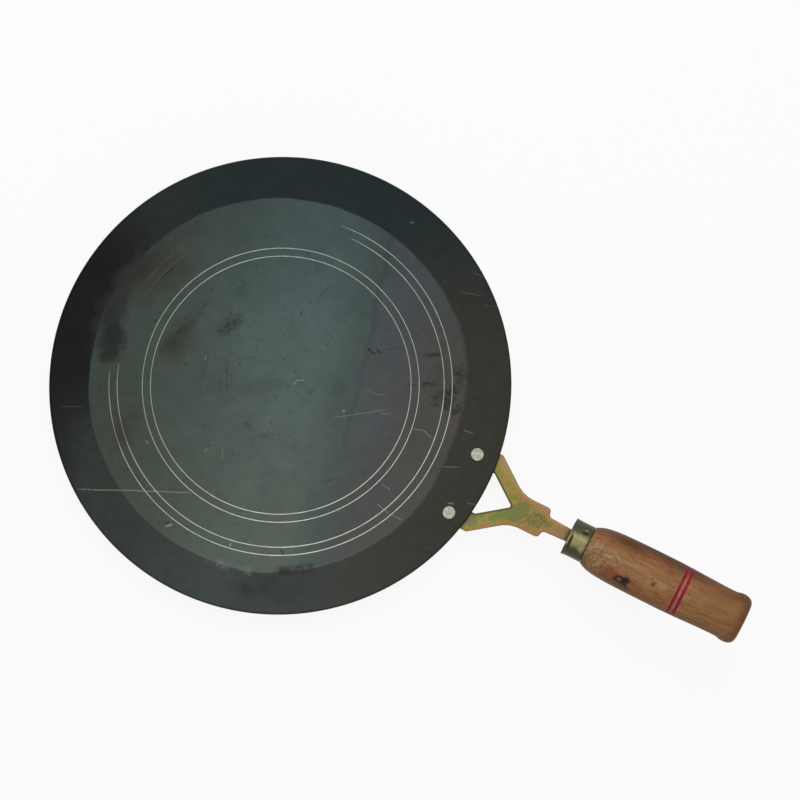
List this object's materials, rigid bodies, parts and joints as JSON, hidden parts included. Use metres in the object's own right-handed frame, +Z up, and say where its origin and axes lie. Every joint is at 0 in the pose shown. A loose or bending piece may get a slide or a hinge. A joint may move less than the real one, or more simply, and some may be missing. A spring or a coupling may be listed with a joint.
{
  "type": "tawa",
  "caption": "Shallow round iron tawa with turned rings in its floor, a forked bracket riveted under the rim and a turned wooden grip with a brass ferrule.",
  "frame": {"origin": "middle of the pan's flat underside, on the surface that it stands on", "axes": "+Z up out of the pan, +X from the pan's middle towards the handle, +Y to the left of the handle"},
  "size_m": [0.4515, 0.2796, 0.0812],
  "materials": {
    "black_iron": "oiled grey-black iron sheet with a satin sheen, scratched and smudged",
    "yellow_zinc": "steel with a yellow passivated zinc coat that shimmers green and pink",
    "rivet_aluminium": "hammered dull aluminium",
    "dull_brass": "olive-toned brass tube, lightly scratched",
    "turned_wood": "turned brown wood with open grain, knots and two thin red lacquer lines"
  },
  "bodies": {
    "root": {"pan": "black_iron", "handle_bracket": "yellow_zinc", "rivet_left": "rivet_aluminium", "rivet_right": "rivet_aluminium", "ferrule": "dull_brass", "wooden_grip": "turned_wood"}
  },
  "joints": []
}
